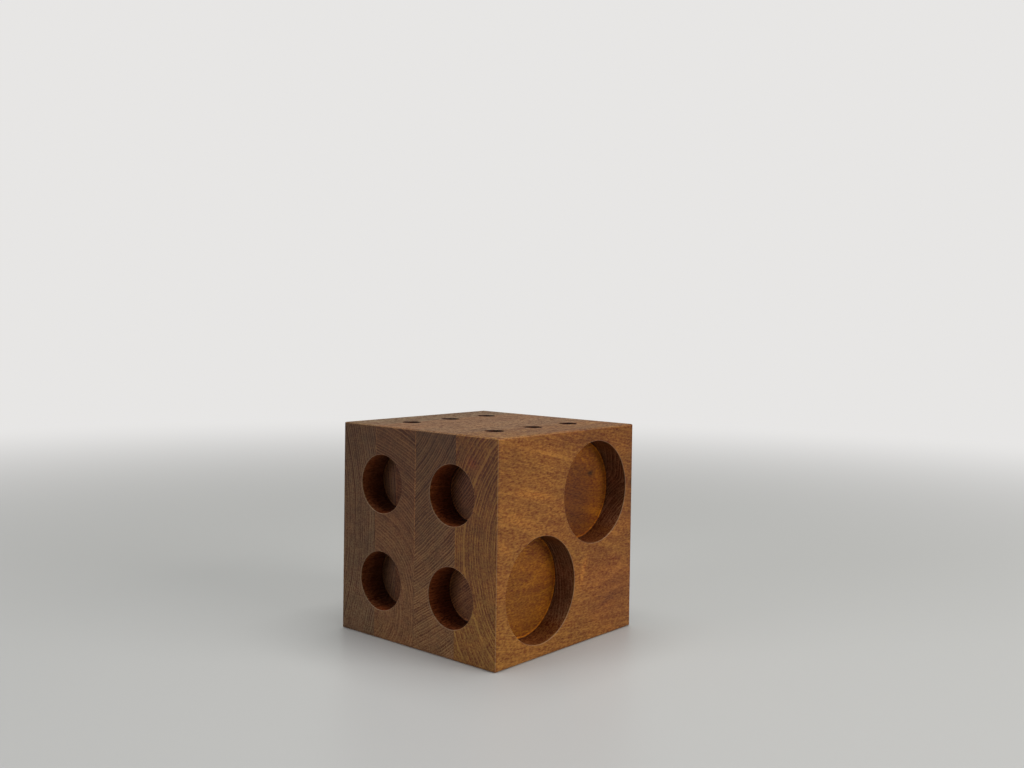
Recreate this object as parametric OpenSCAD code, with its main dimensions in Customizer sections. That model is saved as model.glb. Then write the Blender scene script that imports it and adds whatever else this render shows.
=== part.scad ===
// Wooden die: a cube glued up from four boards, with pips bored to a different size on each face.
// Millimetres, +Z up, origin at the middle of the underside. The grain of every board runs along Y,
// so the front (-Y) and the back (+Y) show end grain and the glue lines cross them and the top upright.

/* [Block] */
// Length of each side of the cube
side = 145; // [140:1:200]
// Radius that sanding leaves on the outer edges
edge_r = 1.8; // [0.5:0.1:3]

/* [Boards] */
// Thickness of the left board
left_board_t = 33.8; // [25:0.1:40]
// Thickness of the board left of the middle
mid_left_board_t = 38.3; // [30:0.1:45]
// Thickness of the board right of the middle, and the right board takes what is left
mid_right_board_t = 37.2; // [30:0.1:45]

/* [One pip, underside] */
// Diameter of the pip
one_d = 100; // [60:1:110]
// Depth of the pip
one_depth = 13; // [5:1:16]

/* [Two pips, right face] */
// Diameter of each pip
two_d = 70; // [40:1:72]
// Depth of each pip
two_depth = 16; // [5:1:17]
// Distance from the pip centres to the nearest sides of the face
two_inset = 43.75; // [41:0.25:45.5]

/* [Three pips, back face] */
// Diameter of each pip
three_d = 50; // [20:1:54]
// Depth of each pip
three_depth = 18; // [5:1:22]
// Distance from the corner pips' centres to the nearest sides of the face
three_inset = 32; // [29:0.5:34]

/* [Four pips, front face] */
// Diameter of each pip
four_d = 40; // [20:1:42]
// Depth of each pip
four_depth = 19; // [5:1:22]
// Distance from the pip centres to the nearest sides of the face
four_inset = 39.5; // [37.5:0.5:50]

/* [Five pips, left face] */
// Diameter of each pip
five_d = 22; // [10:1:26]
// Depth of each pip
five_depth = 22; // [5:1:24]
// Distance from the corner pips' centres to the nearest sides of the face
five_inset = 36.25; // [33:0.25:45]

/* [Six pips, top] */
// Diameter of each pip
six_d = 13; // [6:1:20]
// Depth of each pip
six_depth = 25; // [8:1:35]
// Distance from the outer pips' centres to the nearest sides of the face
six_inset = 33.5; // [30:0.5:40]

/* [Boring] */
// Radius that sanding leaves around the mouth of each pip
rim_r = 0.4; // [0.2:0.1:1.5]
// Width of the groove that the rim of the boring bit scores around each floor
score_w = 0.8; // [0.4:0.1:2]
// Depth of that groove below the floor
score_h = 0.4; // [0.2:0.1:1]

/* [Hidden] */
$fn = 96;
half = side / 2;
// How far the cutting shapes run past the wood
past = 1;
// Where each board starts along X
mid_left_x = -half + left_board_t;
mid_right_x = mid_left_x + mid_left_board_t;
right_x = mid_right_x + mid_right_board_t;
right_board_t = half - right_x;
// Places of the pips on a face: steps to the right and up from its middle
diagonal_ends = [[-1, -1], [1, 1]];
middle = [[0, 0]];
corners = [[-1, -1], [1, -1], [-1, 1], [1, 1]];
two_rows = [for (column = [-1, 1], row = [-1, 0, 1]) [column, row]];
// Colours of the oiled boards
left_colour = [0.36, 0.26, 0.18];
mid_left_colour = [0.38, 0.27, 0.18];
mid_right_colour = [0.37, 0.26, 0.17];
right_colour = [0.50, 0.32, 0.16];

// Square with rounded corners, centred
module eased_square() {
    square([side - 2 * edge_r, side], center = true);
    square([side, side - 2 * edge_r], center = true);
    for (x = [-1, 1], y = [-1, 1])
        translate([x * (half - edge_r), y * (half - edge_r)])
            circle(edge_r);
}

// The whole cube with its edges eased along all three directions
module eased_block() {
    translate([0, 0, half])
        intersection() {
            linear_extrude(side, center = true)
                eased_square();
            rotate([90, 0, 0])
                linear_extrude(side, center = true)
                    eased_square();
            rotate([0, 90, 0])
                linear_extrude(side, center = true)
                    eased_square();
        }
}

// Half section of what one pip removes: the bore, its eased mouth and the groove around its floor
module pip_section(r, depth) {
    translate([0, -depth])
        square([r, depth + past]);
    translate([r - score_w, -depth - score_h])
        square([score_w, depth]);
    difference() {
        translate([0, -rim_r])
            square([r + rim_r, rim_r + past]);
        translate([r + rim_r, -rim_r])
            circle(rim_r);
    }
}

// One pip, bored down from the plane Z = 0
module pip(d, depth) {
    rotate_extrude()
        pip_section(d / 2, depth);
}

// Pips of one size at the given places, their outermost centres set in from the sides of the face
module pips(places, d, depth, inset) {
    for (p = places)
        translate([p.x * (half - inset), p.y * (half - inset), 0])
            pip(d, depth);
}

// Stands a face's own plane on one of the four upright faces, turned round from the front
module on_side(turn) {
    rotate([0, 0, turn])
        translate([0, -half, half])
            rotate([90, 0, 0])
                children();
}

module on_top() {
    translate([0, 0, side])
        children();
}

module on_underside() {
    rotate([180, 0, 0])
        children();
}

// All the pips, with opposite faces adding up to seven
module all_pips() {
    on_side(0)
        pips(corners, four_d, four_depth, four_inset);
    on_side(90)
        pips(diagonal_ends, two_d, two_depth, two_inset);
    on_side(180)
        pips(concat(diagonal_ends, middle), three_d, three_depth, three_inset);
    on_side(270)
        pips(concat(corners, middle), five_d, five_depth, five_inset);
    on_top()
        pips(two_rows, six_d, six_depth, six_inset);
    on_underside()
        pip(one_d, one_depth);
}

// One board of the glued cube, from start_x and as thick as given
module board(start_x, thickness) {
    difference() {
        intersection() {
            eased_block();
            translate([start_x, -half - past, -past])
                cube([thickness, side + 2 * past, side + 2 * past]);
        }
        all_pips();
    }
}

module left_board() {
    color(left_colour)
        board(-half, left_board_t);
}

module mid_left_board() {
    color(mid_left_colour)
        board(mid_left_x, mid_left_board_t);
}

module mid_right_board() {
    color(mid_right_colour)
        board(mid_right_x, mid_right_board_t);
}

module right_board() {
    color(right_colour)
        board(right_x, right_board_t);
}

left_board();
mid_left_board();
mid_right_board();
right_board();
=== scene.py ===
# Looks of a big wooden die: four oiled boards glued face to face, with pips bored into every face.
# Metres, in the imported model's frame. The boards' grain runs along Y, so the front and back are end grain.
import math

import bpy
from mathutils import Matrix, Vector

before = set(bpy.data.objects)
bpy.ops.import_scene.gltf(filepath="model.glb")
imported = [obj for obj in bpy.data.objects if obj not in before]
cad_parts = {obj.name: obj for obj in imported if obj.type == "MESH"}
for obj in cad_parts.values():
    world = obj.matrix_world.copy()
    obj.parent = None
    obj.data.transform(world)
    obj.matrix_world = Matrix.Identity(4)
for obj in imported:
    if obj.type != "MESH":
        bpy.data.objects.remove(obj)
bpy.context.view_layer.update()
print("frame loaded")


class Wire:
    # one output socket of a node tree, so that shader maths reads as maths: + - * / and ** add Math nodes
    def __init__(self, tree, socket):
        self.tree = tree
        self.socket = socket

    def math(self, operation, *others):
        return self.tree.add("ShaderNodeMath", {"operation": operation}, [self, *others])

    def __add__(self, other):
        return self.math("ADD", other)

    def __sub__(self, other):
        return self.math("SUBTRACT", other)

    def __mul__(self, other):
        return self.math("MULTIPLY", other)

    def __truediv__(self, other):
        return self.math("DIVIDE", other)

    def __pow__(self, other):
        return self.math("POWER", other)

    def __neg__(self):
        return self.math("MULTIPLY", -1.0)

    def __rsub__(self, other):
        return (-self) + other

    __radd__ = __add__
    __rmul__ = __mul__

    def atMost(self, other):
        return self.math("MINIMUM", other)

    def atLeast(self, other):
        return self.math("MAXIMUM", other)

    def size(self):
        return self.math("ABSOLUTE")

    def root(self):
        return self.math("SQRT")

    def floor(self):
        return self.math("FLOOR")

    def bell(self):
        # exp(-v^2): 1 at zero, falling away smoothly on both sides
        return (self * self * -1.0).math("EXPONENT")

    def ramp(self, low, high):
        # smooth step from 0 at low to 1 at high
        return self.tree.add("ShaderNodeMapRange", {"interpolation_type": "SMOOTHSTEP"},
                             {"Value": self, "From Min": low, "From Max": high})


class Tree:
    # the node tree of a new material, or of the world; add() is the one way in which nodes are made
    def __init__(self, name, tree=None):
        if tree is None:
            self.material = bpy.data.materials.new(name)
            self.material.use_nodes = True
            tree = self.material.node_tree
        self.nodes = tree.nodes
        self.links = tree.links
        self.nodes.clear()

    def add(self, kind, settings=None, inputs=None, output=0):
        # settings are set first; inputs are values or wires, by name or in order
        node = self.nodes.new(kind)
        for key, value in (settings or {}).items():
            setattr(node, key, value)
        pairs = inputs.items() if isinstance(inputs, dict) else enumerate(inputs or [])
        for key, value in pairs:
            if isinstance(value, Wire):
                self.links.new(value.socket, node.inputs[key])
            else:
                node.inputs[key].default_value = value
        if len(node.outputs):
            return Wire(self, node.outputs[output])

    def vector(self, x, y, z):
        return self.add("ShaderNodeCombineXYZ", None, [x, y, z])

    def parts(self, vector):
        return [self.add("ShaderNodeSeparateXYZ", None, [vector], k) for k in range(3)]

    def noise(self, vector, detail=2.0, roughness=0.5, output=0):
        # the vector already counts in cells, so the scale is 1
        return self.add("ShaderNodeTexNoise", {"noise_dimensions": "3D"},
                        {"Vector": vector, "Scale": 1.0, "Detail": detail, "Roughness": roughness}, output)

    def random(self, number):
        return self.add("ShaderNodeTexWhiteNoise", {"noise_dimensions": "1D"}, {"W": number})

    def mix(self, factor, first, second, blend="MIX"):
        # a Mix node set to colours has its factor and colours at inputs 0, 6 and 7, its result at output 2
        return self.add("ShaderNodeMix", {"data_type": "RGBA", "blend_type": blend},
                        {0: factor, 6: first, 7: second}, 2)


die = {
    "side": 145.0,            # mm
    # the tints of the pips below are partly the darker, redder wood where it was bored and partly painted
    # shade and bounced light
    "floorTint": (0.87, 0.70, 0.65),       # what the colour is multiplied by on the floors of the pips
    "wideFloorTint": (0.86, 0.68, 0.18),   # on those of the two wide pips at the right
    "deepTint": (0.76, 0.44, 0.36),        # on the walls of all pips but those two
    "wideTint": (0.70, 0.52, 0.66),        # on the walls of those two, where they run along the grain
    "tornTint": (1.36, 1.50, 4.20),        # and where they cross it, and the bit tears the fibres
    "sixTint": (1.0, 0.65, 0.65),          # what the walls of the six small pips gain over deepTint, as painted shade
    "shadow": 0.85,           # painted shadow: how much darker they are
    "mouth": 0.45,            # painted light: how much lighter the walls of the other narrow pips are at the mouth
    "depthShade": 0.80,             # and painted shade: how much darker they get on the way down
    "wideShade": 0.35,        # painted shade: how much darker the walls of the wide pips are where they face down
    "lipHighlight": 0.9,               # painted highlight: how much lighter the outer edge of a pip's floor is
    "groove": 0.6,            # and painted shade: how much darker the groove scored around it is
    "pale": (0.40, 0.27, 0.18, 1.0),       # colour of rubbed wood, and of the painted highlight where rounded edges catch the light
    "edgeWearAndHighlight": 0.20,         # its share on rubbed outer edges, worn wood and painted highlight together
    "rimWearAndHighlight": 0.40,          # and on the rims of the pips, likewise worn wood and painted highlight
    "topSheenTint": (0.92, 0.98, 1.0, 1.0),     # painted sheen: what the colour is multiplied by on top, a little greyer
    "endLower": (0.0, 0.17, 0.38),         # painted light from below: what red, green and blue gain on end grain from top to bottom
    "floorSlope": (0.003, 0.0025),         # how much lighter floors in end grain get, per mm along X and Z
    "tornSlope": 0.004,       # and walls across the grain, per mm along Z
    "roughness": 0.48,
    "gloss": 0.20,
    "bump": 0.30,
    "bumpHeight": 0.00012,    # m
    "seamHalf": 0.36,         # mm, half the width of a glue line
    "seamTurn": (35.0, 95.0),              # mm, heights between which it turns from bottom shade to top
    "seamStray": 40.0,        # mm by which the streaks move that turn
}

pips = {
    # in mm: how far the centres lie from the face's middle along both of its sides, the radius, and
    # where the floors lie along the face's own axis, which is 0, 1 or 2, and the way that it looks
    "one": {"off": 0.0, "radius": 50.0, "floor": 13.0, "axis": 2, "way": -1.0},
    "two": {"off": 28.75, "radius": 35.0, "floor": 56.5, "axis": 0, "way": 1.0},
    "three": {"off": 40.5, "radius": 25.0, "floor": 54.5, "axis": 1, "way": 1.0},
    "four": {"off": 33.0, "radius": 20.0, "floor": -53.5, "axis": 1, "way": -1.0},
    "five": {"off": 36.25, "radius": 11.0, "floor": -50.5, "axis": 0, "way": -1.0},
    "six": {"off": 39.0, "radius": 6.5, "floor": 120.0, "axis": 2, "way": 1.0},
}

grain = {
    # what all four boards share; a share is one of the way from a board's dark colour to its light one
    "stray": 6.0,             # mm by which the pith strays from its line
    "uneven": 2.4,            # how unevenly the rings are spaced, in rings
    "ripple": 0.30,           # how wavy each ring is, in rings
    "knotPush": 2.4,          # how far a knot pushes the rings aside, in rings
    "knotAcross": 90.0,       # square of the reach of that push across the grain, in square mm
    "knotAlong": 500.0,       # and along it
    "knotOval": 0.35,         # below 1, a knot's heart is longer along the grain
    "knotDark": 0.85,         # how much darker the heart is
    "middle": 0.46,           # share in plain wood
    "years": 0.34,            # share by which one ring differs from the next
    "late": 0.26,             # and by which its late wood is darker
    "early": 0.95,            # and by which the pale line in its early wood is lighter
    "balance": 0.06,          # and what all of them lose, so that rings don't lighten the board
    "sideContrast": 0.45,     # contrast of the rings along the grain, as a share of that of the board
    "endContrast": 1.65,      # and on end grain
    "faint": 0.3,             # contrast where the rings are faintest
    "clear": 1.3,             # and what it gains where they are clearest
    "higher": 0.9,            # and what it gains on end grain from the bottom to the top
    "coarse": 0.42,           # shares by which the coarse streaks of the fibres vary
    "fine": 0.95,
    "speckle": 2.2,
    "rays": 0.8,              # and the rays, on end grain
    "top": 1.2,               # how much stronger the streaks are on top
    "pores": 0.34,            # depth of colour of the pores
    "patches": 0.55,          # how much lighter and darker the large patches are
    "patchHue": 1.3,          # and how much redder and yellower
    "small": 0.15,            # the same of the small patches, and what they gain on end grain
    "smallOnEnd": 0.45,
    "smallHue": 0.3,
    "smallHueOnEnd": 1.6,
    "fadeStray": 60.0,        # mm by which the painted light on the end grain, strongest at the bottom, strays up and down
    "markStray": 6.0,         # mm by which the streaks move the edges of the broad marks
    "redder": (0.05, -0.07, -0.05),        # what being redder by 1 does to red, green and blue
}

boards = {
    # pith: where the tree's centre lies, in mm along X and Z; lean: how fast it drifts along the grain
    # ring: mean width of a year's growth in mm; rings: their contrast; streaks: that of the fibres
    # light, dark: colours along the grain; end: what they are multiplied by on end grain
    # fade: painted light, how much lighter the end grain is at the bottom than at the top, as a share
    # seams: X of a glue line in mm, and its shade at the bottom and at the top (below 1 is dark)
    # seed: any number, different for each board
    "left_board": {
        "pith": (-260.0, 76.0), "lean": (0.03, 0.05), "ring": 2.0, "rings": 0.70, "streaks": 1.1,
        "light": (0.245, 0.136, 0.0578, 1.0), "dark": (0.092, 0.022, 0.0015, 1.0),
        "end": (0.485, 0.462, 0.430, 1.0), "fade": 0.44, "seed": 3.1,
        "seams": [(-38.7, 0.95, 1.5)],
    },
    "mid_left_board": {
        "pith": (-60.0, 24.0), "lean": (-0.04, 0.02), "ring": 2.2, "rings": 0.52, "streaks": 1.0,
        "light": (0.297, 0.130, 0.0445, 1.0), "dark": (0.110, 0.027, 0.0027, 1.0),
        "end": (0.505, 0.505, 0.480, 1.0), "fade": 0.52, "seed": 11.7,
        "seams": [(-38.7, 0.95, 1.5), (-0.4, 0.75, 2.2)],
    },
    "mid_right_board": {
        "pith": (-120.0, 225.0), "lean": (0.02, -0.05), "ring": 1.7, "rings": 0.72, "streaks": 1.0,
        "light": (0.302, 0.140, 0.0499, 1.0), "dark": (0.095, 0.023, 0.0024, 1.0),
        "end": (0.515, 0.515, 0.490, 1.0), "fade": 0.92, "seed": 23.9,
        "seams": [(-0.4, 0.75, 2.2), (36.8, 1.0, 1.4)],
    },
    "right_board": {
        "pith": (150.0, 60.0), "lean": (0.05, -0.20), "ring": 2.3, "rings": 0.50, "streaks": 1.0,
        "light": (0.325, 0.138, 0.0229, 1.0), "dark": (0.118, 0.024, 0.0015, 1.0),
        "end": (0.632, 0.620, 0.620, 1.0), "fade": 0.38, "seed": 37.3,
        "seams": [(36.8, 1.0, 1.4)],
        # pin knots: place and half size of the dark heart, in mm
        "knots": [
            {"at": (56.5, 43.5, 111.0), "half": 1.9},
            {"at": (73.0, 72.5, 103.5), "half": 2.1},
        ],
        # stains on end grain: middle along X and Z and half size in mm
        "stains": [
            {"at": (51.0, 128.0), "half": 3.8, "darker": 0.10, "redder": 3.2},
        ],
        # broad marks: middle along Y and Z in mm, half length and half width in mm, slope in degrees,
        # how much lighter (or darker, below zero), and how much redder
        "marks": [
            {"at": (-36.0, 106.0), "half": (16.0, 2.6), "slope": -12.0, "lighter": 0.50, "redder": -0.3},
            {"at": (-52.0, 91.0), "half": (20.0, 3.4), "slope": -20.0, "lighter": 0.34, "redder": -0.2},
            {"at": (-66.0, 76.0), "half": (9.0, 3.0), "slope": -38.0, "lighter": 0.30, "redder": -0.2},
            {"at": (-54.0, 128.0), "half": (20.0, 4.5), "slope": -12.0, "lighter": -0.12, "redder": 0.3},
            {"at": (16.0, 50.0), "half": (2.2, 9.0), "slope": -20.0, "lighter": 0.42, "redder": -0.2},
            {"at": (8.0, 46.0), "half": (12.0, 7.0), "slope": -40.0, "lighter": 0.14, "redder": 0.0},
            {"at": (42.0, 24.0), "half": (17.0, 3.0), "slope": 20.0, "lighter": -0.22, "redder": 0.8},
            {"at": (50.0, 30.0), "half": (30.0, 24.0), "slope": 0.0, "lighter": -0.20, "redder": 1.4},
            {"at": (-58.0, 18.0), "half": (30.0, 26.0), "slope": 0.0, "lighter": 0.16, "redder": -0.6},
            {"at": (76.0, 105.0), "half": (16.0, 50.0), "slope": 0.0, "lighter": -0.36, "redder": 1.0},
            # painted shade: this mark darkens the floor of the upper wide pip
            {"at": (27.0, 96.0), "half": (21.0, 24.0), "slope": 0.0, "lighter": -0.48, "redder": 1.0},
            {"at": (-32.0, 44.0), "half": (22.0, 22.0), "slope": 0.0, "lighter": 0.0, "redder": -0.7},
            {"at": (-28.0, 62.0), "half": (24.0, 9.0), "slope": 8.0, "lighter": 0.20, "redder": -0.5},
            {"at": (27.0, 78.0), "half": (18.0, 10.0), "slope": 0.0, "lighter": -0.14, "redder": 0.4},
            {"at": (20.0, 140.0), "half": (60.0, 9.0), "slope": -4.0, "lighter": -0.26, "redder": 0.8},
        ],
    },
}


def yearRings(t, board, x, y, z, slow, endways):
    # Rings are cylinders round the pith, a line along the grain: growth = distance from the pith / ring
    # width, wandering with noise. Its whole part numbers the ring and its fraction runs across the ring.
    # What comes out is their figure, the rays that cross them on end grain and the hearts of the knots.
    seed = board["seed"]
    dx = x - board["pith"][0] - y * board["lean"][0] + (slow[0] - 0.5) * grain["stray"]
    dz = z - board["pith"][1] - y * board["lean"][1] + (slow[2] - 0.5) * grain["stray"]
    radius = (dx * dx + dz * dz).root()
    drift = t.noise(t.vector(radius / 6.0 + seed, 0.0, 0.0))
    ripple = t.noise(t.vector(x / 7.0 + seed, y / 30.0, z / 7.0)) - 0.5
    growth = radius / board["ring"] + drift * grain["uneven"] + ripple * grain["ripple"]
    heart = None
    for knot in board.get("knots", []):
        kx = x - knot["at"][0]
        ky = y - knot["at"][1]
        kz = z - knot["at"][2]
        across = kx * kx + kz * kz
        reach = (across / grain["knotAcross"] + ky * ky / grain["knotAlong"]).root()
        growth = growth + reach.bell() * grain["knotPush"]
        core = ((across + ky * ky * grain["knotOval"]).root() / knot["half"]).bell()
        heart = core if heart is None else heart.atLeast(core)

    ring = growth.floor()
    fraction = growth - ring
    late = fraction.ramp(0.45, 0.88) * (1.0 - fraction.ramp(0.88, 1.0)) * (t.random(ring + seed) + 0.4)
    early = ((fraction - 0.14) / 0.14).bell() * (t.random(ring + (seed + 50.0)) * 0.7 + 0.4)
    season = t.random(ring + (seed + 90.0)) - 0.5
    figure = season * grain["years"] - late * grain["late"] + early * grain["early"] - grain["balance"]
    figure = figure * board["rings"]
    figure = figure * (grain["sideContrast"] + endways * (grain["endContrast"] - grain["sideContrast"]))
    clear = t.noise(t.vector(x / 9.0 + seed, y / 40.0, z / 9.0), detail=2.0)
    figure = figure * (clear.ramp(0.25, 0.75) * grain["clear"] + grain["faint"])
    figure = figure * (1.0 + (z / die["side"] - 0.55) * endways * grain["higher"])
    turn = t.add("ShaderNodeMath", {"operation": "ARCTAN2"}, [dz, dx])
    rays = t.noise(t.vector(turn * (radius / 0.55), radius / 6.0, y / 6.0), detail=1.0) - 0.5
    return figure, rays, heart


def boredAreas(x, y, z, normal, endways):
    # Depth = distance below the cube's outer skin. With the distance from the nearest pip's axis and the
    # way that the surface faces, it tells the walls, floors, rims and rubbed edges from the plain faces;
    # these masks carry wear and also the painted light, shade and highlights in and around the pips.
    half = die["side"] / 2.0
    up = z - half             # height above the middle
    place = [x, y, z]
    away = [x.size(), y.size(), up.size()]
    most = away[0].atLeast(away[1]).atLeast(away[2])
    second = away[0].atMost(away[1]).atLeast(away[0].atLeast(away[1]).atMost(away[2]))
    depth = half - most
    # on top, clear of the outer edges, a wall starts higher, because the six pips are small and steep
    crisp = (z - (die["side"] - 1.0)).ramp(0.0, 0.1) * (1.0 - (second - (half - 4.0)).ramp(0.0, 1.0))
    inside = depth.ramp(0.5, 1.5).atLeast(crisp * depth.ramp(0.02, 0.10))

    # distance from the nearest axis on every face; the two and three pips stand on a diagonal, so theirs
    # is worked out along it and across it
    root2 = 1.4142
    cos45 = 0.7071
    slant = (y + up).size() * cos45
    cross = (y - up) * cos45
    twoAway = ((slant - pips["two"]["off"] * root2) ** 2.0 + cross * cross).root()
    slant = (x - up).size() * cos45
    cross = (x + up) * cos45
    threeAway = ((slant - pips["three"]["off"] * root2).size().atMost(slant) ** 2.0 + cross * cross).root()
    off = pips["four"]["off"]
    fourAway = ((away[0] - off) ** 2.0 + (away[2] - off) ** 2.0).root()
    off = pips["five"]["off"]
    fiveAway = ((away[1] - off) ** 2.0 + (away[2] - off) ** 2.0).root().atMost((y * y + up * up).root())
    off = pips["six"]["off"]
    sixAway = ((away[0] - off) ** 2.0 + (away[1] - off).size().atMost(away[1]) ** 2.0).root()
    axisAway = {"one": (x * x + y * y).root(), "two": twoAway, "three": threeAway,
                "four": fourAway, "five": fiveAway, "six": sixAway}

    # floors of the pips, the lip at a floor's outer edge, which gets a painted highlight, and the groove
    # scored around it, which gets painted shade
    onFloor = lipHighlight = scored = 0.0
    for key, pip in pips.items():
        above = (place[pip["axis"]] - pip["floor"]) * pip["way"]
        beyond = axisAway[key] - pip["radius"]
        facing = (normal[pip["axis"]] * pip["way"]).ramp(0.92, 0.97) * (1.0 - beyond.ramp(0.1, 0.3))
        onFloor = facing * (above / 0.2).bell() + onFloor
        scored = facing * ((above + 0.4) / 0.15).bell() + scored
        lipHighlight = facing * ((beyond + 1.5) / 0.6).bell() * (above / 0.2).bell() + lipHighlight

    wall = inside * (1.0 - onFloor)
    besideTwo = (x - (pips["two"]["floor"] - 0.5)).ramp(0.0, 0.1)
    besideTwo = besideTwo * (1.0 - (twoAway - pips["two"]["radius"]).ramp(0.8, 0.9))
    wideWall = wall * besideTwo
    wideFloor = onFloor * inside * besideTwo
    torn = wideWall * endways
    sixWall = wall * (z - (pips["six"]["floor"] - 10.0)).ramp(0.0, 1.0)
    sixWall = sixWall * (1.0 - (sixAway - pips["six"]["radius"]).ramp(0.6, 0.8))
    outer = (second - (half - 2.5)).ramp(0.0, 1.0)
    rim = depth.ramp(0.01, 0.06) * (1.0 - depth.ramp(0.35, 0.60)) * (1.0 - crisp) * (1.0 - outer)
    return {
        "up": up, "depth": depth, "lipHighlight": lipHighlight, "scored": scored, "six": sixWall,
        "floor": inside - wall - wideFloor, "wideFloor": wideFloor, "endFloor": onFloor * inside * endways,
        "deep": wall - wideWall, "wideWall": wideWall, "wide": wideWall - torn, "torn": torn,
        "wornAndHighlight": rim * die["rimWearAndHighlight"] + outer * depth.ramp(0.20, 0.45) * die["edgeWearAndHighlight"],
    }


def woodMaterial(name, board):
    t = Tree(name)
    mm = t.add("ShaderNodeVectorMath", {"operation": "SCALE"},
               {"Vector": t.add("ShaderNodeTexCoord", output="Object"), "Scale": 1000.0})
    x, y, z = t.parts(mm)
    seed = board["seed"]
    normal = t.parts(t.add("ShaderNodeTexCoord", output="Normal"))
    endways = normal[1].size().ramp(0.55, 0.85)
    onTop = normal[2].ramp(0.5, 0.9)

    # in each noise, x, y and z are divided by the length of its cells in mm, or multiplied by their
    # number in a mm
    slow = t.parts(t.noise(t.vector(x / 38.0 + seed, y / 90.0, z / 38.0), output=1))
    figure, rays, heart = yearRings(t, board, x, y, z, slow, endways)

    # fibres run along the grain in streaks of several widths
    coarse = t.noise(t.vector(x / 4.0 + seed, y / 110.0, z / 4.0 + y / 75.0), detail=2.0) - 0.5
    fine = t.noise(t.vector(x * 1.3 + seed, y / 8.0, z * 1.3), detail=3.0, roughness=0.65) - 0.5
    speckle = t.noise(t.vector(x * 0.9, y / 2.8 + seed, z * 0.9), detail=2.0, roughness=0.7) - 0.5
    streaks = coarse * grain["coarse"] + fine * grain["fine"] + speckle * grain["speckle"]
    streaks = (streaks + endways * rays * grain["rays"]) * board["streaks"]
    streaks = streaks * (1.0 + onTop * grain["top"])
    tone = grain["middle"] + figure + streaks
    colour = t.mix(tone.atLeast(0.0).atMost(1.0), board["dark"], board["light"])

    # patches a few centimetres long, some redder and some yellower, and small ones inside them
    patch = t.parts(t.noise(t.vector(x / 20.0 + seed, y / 42.0, z / 14.0 + y / 110.0), detail=2.0, output=1))
    small = t.parts(t.noise(t.vector(x / 5.0 + seed, y / 22.0, z / 5.0), detail=2.0, output=1))
    shade = 1.0 + (patch[0] - 0.5) * grain["patches"]
    # painted light: the end grain lighter towards the bottom and darker towards the top
    height = (z + (slow[0] - 0.5) * grain["fadeStray"]) / die["side"]
    shade = shade * (1.0 + (0.5 - height) * endways * board["fade"])
    shade = shade * (1.0 + (small[0] - 0.5) * (grain["small"] + endways * grain["smallOnEnd"]))
    redder = (patch[1] - 0.5) * grain["patchHue"]
    redder = redder + (small[1] - 0.5) * (grain["smallHue"] + endways * grain["smallHueOnEnd"])
    for mark in board.get("marks", []):
        angle = math.radians(mark["slope"])
        my = y - mark["at"][0]
        mz = z - mark["at"][1]
        along = my * math.cos(angle) + mz * math.sin(angle)
        aside = mz * math.cos(angle) - my * math.sin(angle) + coarse * grain["markStray"]
        area = (along / mark["half"][0]).bell() * (aside / mark["half"][1]).bell()
        shade = shade + area * mark["lighter"]
        redder = redder + area * mark["redder"]
    for stain in board.get("stains", []):
        stainAway = ((x - stain["at"][0]) ** 2.0 + (z - stain["at"][1]) ** 2.0).root()
        area = (stainAway / stain["half"]).bell() * endways
        shade = shade * (1.0 - area * stain["darker"])
        redder = redder + area * stain["redder"]

    # pores: short dark dashes along the grain, dots on end grain
    dots = t.noise(t.vector(x * 1.9 + seed, y / 4.5, z * 1.9), detail=1.0).ramp(0.60, 0.74)
    shade = shade * (1.0 - dots * grain["pores"])
    for seam, low, high in board["seams"]:
        line = ((x - seam) / die["seamHalf"]).bell() * endways
        level = (z + (coarse * die["seamStray"])).ramp(*die["seamTurn"]) * (high - low) + (low - 1.0)
        shade = shade * (1.0 + line * level)
    if heart is not None:
        shade = shade * (1.0 - heart * grain["knotDark"])

    # the bored walls and floors, with painted highlights, painted light and painted shade in the pips
    bored = boredAreas(x, y, z, normal, endways)
    down = (-normal[2]).ramp(0.1, 0.8)
    # painted highlight on the lip of each floor, painted shade in the groove around it
    shade = shade * (1.0 + bored["lipHighlight"] * die["lipHighlight"]) * (1.0 - bored["scored"] * die["groove"])
    slope = x * die["floorSlope"][0] + bored["up"] * die["floorSlope"][1]
    shade = shade * (1.0 + bored["endFloor"] * slope)
    shade = shade * (1.0 + bored["torn"] * bored["up"] * die["tornSlope"])
    # painted shade on the walls of the wide pips where they face down
    shade = shade * (1.0 - bored["wideWall"] * down * die["wideShade"])
    # painted light at the mouths of the narrow pips, fading into painted shade deeper down
    depthShade = bored["depth"].ramp(1.0, 15.0) * die["depthShade"]
    shade = shade * (1.0 + (bored["deep"] - bored["six"]) * (die["mouth"] - depthShade))
    # painted shadow on the walls of the six small pips
    shade = shade * (1.0 - bored["six"] * die["shadow"])
    # painted light from below: end grain greyer towards the bottom
    lower = (0.5 - z / die["side"]) * endways
    # tints of the pips: partly the wood's own colour where it was bored, partly painted shade and bounced
    # light
    tint = []
    for k in range(3):
        tints = sum(bored[area] * (die[area + "Tint"][k] - 1.0)
                    for area in ("floor", "wideFloor", "deep", "wide", "torn", "six"))
        hue = 1.0 + redder * grain["redder"][k] + lower * die["endLower"][k]
        tint.append(shade * hue * (1.0 + tints))
    colour = t.mix(1.0, colour, t.vector(*tint), "MULTIPLY")
    colour = t.mix(endways, colour, t.mix(1.0, colour, board["end"], "MULTIPLY"))
    # painted sheen: the top a little greyer
    colour = t.mix(onTop, colour, t.mix(1.0, colour, die["topSheenTint"], "MULTIPLY"))
    # rubbed edges and pip rims made paler: partly worn wood, partly a painted highlight where the rounding
    # catches the light
    colour = t.mix(bored["wornAndHighlight"], colour, die["pale"])

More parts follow.
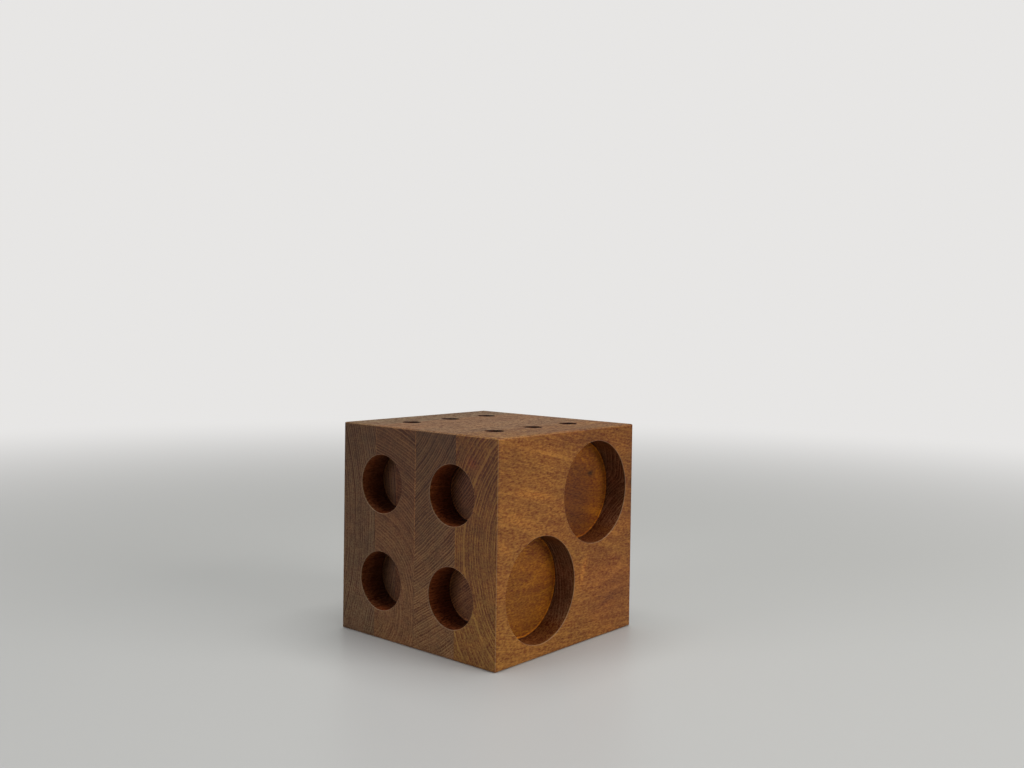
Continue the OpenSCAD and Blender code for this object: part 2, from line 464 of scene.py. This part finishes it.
    # pores and end grain are duller, and pale wood is glossier
    rough = die["roughness"] + dots * 0.18 - (tone - 0.50) * 0.12 + endways * 0.06
    bump = t.add("ShaderNodeBump", None,
                 {"Strength": die["bump"], "Distance": die["bumpHeight"], "Height": tone * 0.5 - dots * 0.8})
    shader = t.add("ShaderNodeBsdfPrincipled", None, {
        "Base Color": colour, "Roughness": rough, "Normal": bump, "Specular IOR Level": die["gloss"]})
    t.add("ShaderNodeOutputMaterial", None, {"Surface": shader})
    return t.material


for name, board in boards.items():
    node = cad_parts[name]
    node.data.materials.clear()
    node.data.materials.append(woodMaterial(name + "Wood", board))
print("wood made")


stage = {
    "reach": 6.0,             # m, half the floor's width
    "floor": (0.50, 0.50, 0.49, 1.0),
    "floorRoughness": 0.38,
    "floorGloss": 0.4,
    "fade": (0.30, 1.6),      # m from the middle: where the floor starts to fade, and where it has gone
    "backdrop": (0.80, 0.79, 0.78, 1.0),
}


def makeFloor(v):
    # a flat square at Z = 0, seen as a satin table top
    r = v["reach"]
    mesh = bpy.data.meshes.new("floor")
    mesh.from_pydata([(-r, -r, 0.0), (r, -r, 0.0), (r, r, 0.0), (-r, r, 0.0)], [], [(0, 1, 2, 3)])
    floor = bpy.data.objects.new("floor", mesh)
    bpy.context.scene.collection.objects.link(floor)
    t = Tree("floorPaint")
    shader = t.add("ShaderNodeBsdfPrincipled", None, {
        "Base Color": v["floor"], "Roughness": v["floorRoughness"], "Specular IOR Level": v["floorGloss"]})
    x, y, z = t.parts(t.add("ShaderNodeTexCoord", output="Object"))
    gone = (x * x + y * y).root().ramp(*v["fade"]) * t.add("ShaderNodeLightPath", output="Is Camera Ray")
    far = t.add("ShaderNodeEmission", None, {"Color": v["backdrop"]})
    faded = t.add("ShaderNodeMixShader", None, [gone, shader, far])
    t.add("ShaderNodeOutputMaterial", None, {"Surface": faded})
    mesh.materials.append(t.material)
    return floor


makeFloor(stage)
print("stage made")


view = {
    "place": (0.50660, -0.56144, 0.21798),   # m
    "azimuth": 40.950,        # degrees from +Y
    "down": 1.341,
    "roll": 0.825,
    "focal": 1070.0,          # in pixels of a frame that is 1024 wide
    "frameWidth": 1024.0,
    "sensor": 36.0,           # mm
    "lower": 39.0,            # how far the frame is shifted down, in the same pixels
}


def makeCamera(v):
    data = bpy.data.cameras.new("camera")
    data.sensor_width = v["sensor"]
    data.lens = v["focal"] / v["frameWidth"] * data.sensor_width
    data.shift_y = -v["lower"] / v["frameWidth"]
    data.clip_start = 0.01
    camera = bpy.data.objects.new("camera", data)
    turn = Matrix.Rotation(math.radians(v["azimuth"]), 4, "Z")
    tilt = Matrix.Rotation(math.radians(90.0 - v["down"]), 4, "X")
    roll = Matrix.Rotation(math.radians(v["roll"]), 4, "Z")
    camera.matrix_world = Matrix.Translation(v["place"]) @ turn @ tilt @ roll
    bpy.context.scene.collection.objects.link(camera)
    bpy.context.scene.camera = camera


makeCamera(view)
print("camera made")


lamps = {
    # place and size in m, power in W
    "rightWindow": {"place": (1.45, 0.35, 0.62), "size": 1.0, "power": 17.0, "colour": (1.0, 0.98, 0.96)},
    "leftWindow": {"place": (-0.50, -1.45, 0.36), "size": 0.7, "power": 10.5, "colour": (0.97, 0.98, 1.0)},
    "ceiling": {"place": (0.0, 0.10, 1.6), "size": 1.1, "power": 18.5, "colour": (1.0, 1.0, 0.98)},
}
lampAim = (0.0, 0.0, 0.07)                  # m, the middle of the die, which every lamp faces

surroundings = {
    "seen": stage["backdrop"],           # behind the floor's far edge
    "mirrored": (0.42, 0.43, 0.39, 1.0),   # what glossy surfaces mirror there
    "behind": (0.20, 0.20, 0.20, 1.0),     # what they mirror on the camera's side
    "fill": (0.13, 0.13, 0.14, 1.0),       # light that comes from all round
    "away": (-0.655, 0.756, 0.0),          # level direction in which the camera looks
}


def makeLamps(values):
    for name, v in values.items():
        data = bpy.data.lights.new(name, "AREA")
        data.shape = "SQUARE"
        data.size = v["size"]
        data.energy = v["power"]
        data.color = v["colour"]
        lamp = bpy.data.objects.new(name, data)
        lamp.location = v["place"]
        towards = Vector(lampAim) - Vector(v["place"])
        lamp.rotation_euler = towards.to_track_quat("-Z", "Y").to_euler()
        bpy.context.scene.collection.objects.link(lamp)


def makeWorld(v):
    # the mirrored colour fades from the far side to the camera's side
    world = bpy.data.worlds.new("studio")
    bpy.context.scene.world = world
    world.use_nodes = True
    t = Tree(None, world.node_tree)
    direction = t.add("ShaderNodeTexCoord", output="Generated")
    side = t.add("ShaderNodeVectorMath", {"operation": "DOT_PRODUCT"}, [direction, v["away"]], "Value")
    mirrored = t.mix(side.ramp(0.4, 0.9), v["behind"], v["mirrored"])
    glossy = t.add("ShaderNodeLightPath", output="Is Glossy Ray")
    camera = t.add("ShaderNodeLightPath", output="Is Camera Ray")
    colour = t.mix(camera, t.mix(glossy, v["fill"], mirrored), v["seen"])
    background = t.add("ShaderNodeBackground", None, {"Color": colour})
    t.add("ShaderNodeOutputWorld", None, {"Surface": background})


makeLamps(lamps)
makeWorld(surroundings)
bpy.context.scene.view_settings.view_transform = "Standard"
print("light made")
